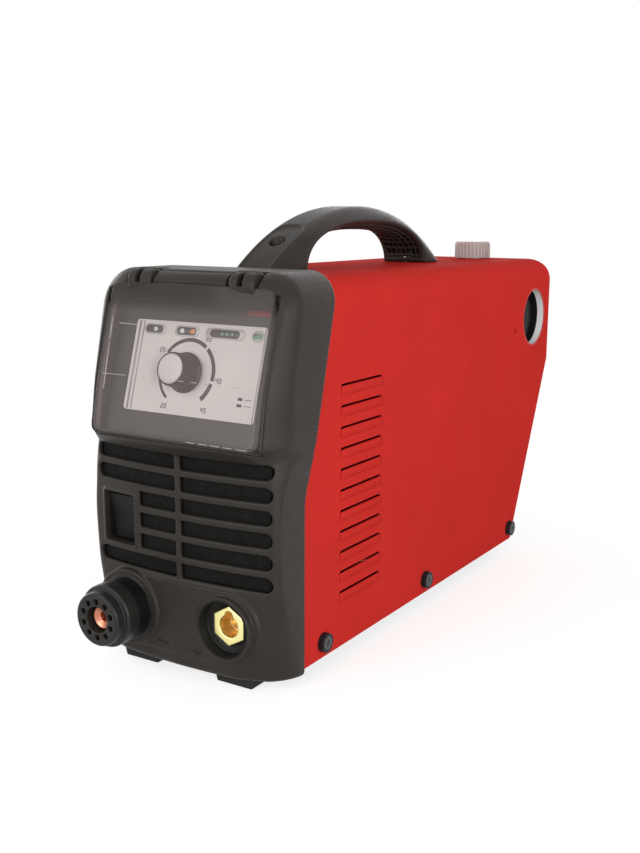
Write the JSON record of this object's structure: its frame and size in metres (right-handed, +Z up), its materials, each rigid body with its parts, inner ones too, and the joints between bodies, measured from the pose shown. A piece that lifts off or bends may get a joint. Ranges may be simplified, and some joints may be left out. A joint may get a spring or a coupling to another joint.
{
  "type": "plasma cutter",
  "caption": "Portable plasma cutter: red sheet-metal case, dark moulded front with flip cover, grille, torch and earth sockets, carry handle and rear air regulator.",
  "frame": {"origin": "under the middle of the unit's box, on the floor", "axes": "+Z up, front towards -Y, +X to the right seen from the front"},
  "size_m": [0.143, 0.4672, 0.2775],
  "materials": {
    "bezel_plastic": "fine-grained charcoal moulding",
    "case_paint": "semi-gloss red powder coat",
    "sheet_steel": "black powder coat",
    "foot_rubber": "matt rubber",
    "handle_plastic": "grained charcoal moulding",
    "screw_steel": "plated steel",
    "black_screw": "black oxide",
    "smoked_cover": "smoked clear plastic",
    "panel_plastic": "matt dark plastic",
    "label_print": "printed pale film",
    "lamp_lens": "tinted lenses",
    "knob_plastic": "dark grey grip",
    "cap_plastic": "pale grey cap",
    "socket_plastic": "black moulding",
    "copper_contact": "bare copper",
    "brass_parts": "machined brass",
    "circuit_board": "green solder mask",
    "dark_component": "black component plastic",
    "sink_aluminium": "bare aluminium",
    "capacitor_sleeve": "sleeved can",
    "core_ferrite": "dark ferrite",
    "winding_copper": "enamelled copper",
    "filter_foam": "open-cell dust foam",
    "lead_rubber": "black lead",
    "hose_rubber": "blue air hose",
    "bowl_clear": "clear bowl",
    "knob_grey": "grey ribbed knob",
    "gauge_black": "black gauge",
    "needle_white": "white needle",
    "gauge_glass": "clear lens",
    "collar_white": "white collar"
  },
  "bodies": {
    "chassis": {"front_bezel": "bezel_plastic", "case_cover": "case_paint", "base_tray": "sheet_steel", "rear_panel": "sheet_steel", "regulator_bracket": "sheet_steel", "front_feet": "foot_rubber", "rear_feet": "foot_rubber", "carry_handle": "handle_plastic", "handle_screws": "screw_steel", "hinge_pins": "screw_steel", "board_standoffs": "screw_steel", "torch_nut": "screw_steel", "earth_nut": "screw_steel", "case_screws": "black_screw", "fan_guard": "black_screw", "control_panel": "panel_plastic", "panel_label": "label_print", "indicator_lamps": "lamp_lens", "torch_socket": "socket_plastic", "earth_socket": "socket_plastic", "switch_housing": "socket_plastic", "cable_gland": "socket_plastic", "gland_nut": "socket_plastic", "torch_contact": "copper_contact", "torch_pins": "brass_parts", "earth_insert": "brass_parts", "air_inlet": "brass_parts", "solenoid_valve": "brass_parts", "power_board": "circuit_board", "control_board": "circuit_board", "power_modules": "dark_component", "potentiometer": "dark_component", "fan_frame": "dark_component", "regulator_bonnet": "dark_component", "heat_sinks": "sink_aluminium", "regulator_body": "sink_aluminium", "capacitors": "capacitor_sleeve", "transformer_core": "core_ferrite", "transformer_winding": "winding_copper", "output_choke": "winding_copper", "dust_filter": "filter_foam", "earth_lead": "lead_rubber", "torch_lead": "lead_rubber", "regulator_hose": "hose_rubber", "torch_hose": "hose_rubber", "filter_bowl": "bowl_clear", "gauge_case": "gauge_black", "gauge_dial": "gauge_black", "gauge_lens": "gauge_glass", "gauge_collar": "collar_white"},
    "cover": {"flip_cover": "smoked_cover"},
    "knob": {"current_knob": "knob_plastic", "knob_cap": "cap_plastic", "control_shaft": "screw_steel"},
    "rocker": {"mains_rocker": "socket_plastic"},
    "fan": {"fan_rotor": "dark_component"},
    "pressure_screw": {"adjusting_screw": "screw_steel"},
    "pressure_knob": {"regulator_knob": "knob_grey"},
    "needle": {"gauge_needle": "needle_white"}
  },
  "joints": [
    {"name": "cover_flip", "type": "hinge", "parent": "chassis", "child": "cover", "pos_m": [0, -0.17845, 0.233], "axis": [-1, 0, 0], "range_deg": [0, 105]},
    {"name": "knob_turn", "type": "hinge", "parent": "chassis", "child": "knob", "pos_m": [-0.0045, -0.18133, 0.18046], "axis": [0, -0.9578, 0.2874], "range_deg": [-135, 135]},
    {"name": "rocker_tilt", "type": "hinge", "parent": "chassis", "child": "rocker", "pos_m": [-0.045, -0.18675, 0.09105], "axis": [-1, 0, 0], "range_deg": [0, 18]},
    {"name": "fan_spin", "type": "hinge", "parent": "chassis", "child": "fan", "pos_m": [0, 0.17617, 0.08375], "axis": [0, 0.9063, -0.4226], "continuous": true},
    {"name": "pressure_turn", "type": "hinge", "parent": "chassis", "child": "pressure_screw", "pos_m": [0.01, 0.18315, 0.1895], "axis": [0, 0, -1], "range_deg": [0, 1080]},
    {"name": "knob_lift", "type": "slide", "parent": "pressure_screw", "child": "pressure_knob", "axis": [0, 0, 1], "range_m": [0, 0.003]},
    {"name": "gauge_sweep", "type": "hinge", "parent": "chassis", "child": "needle", "pos_m": [0.038, 0.18315, 0.1895], "axis": [-1, 0, 0], "range_deg": [0, 270], "stiffness_Nm_per_rad": 0.0001}
  ]
}
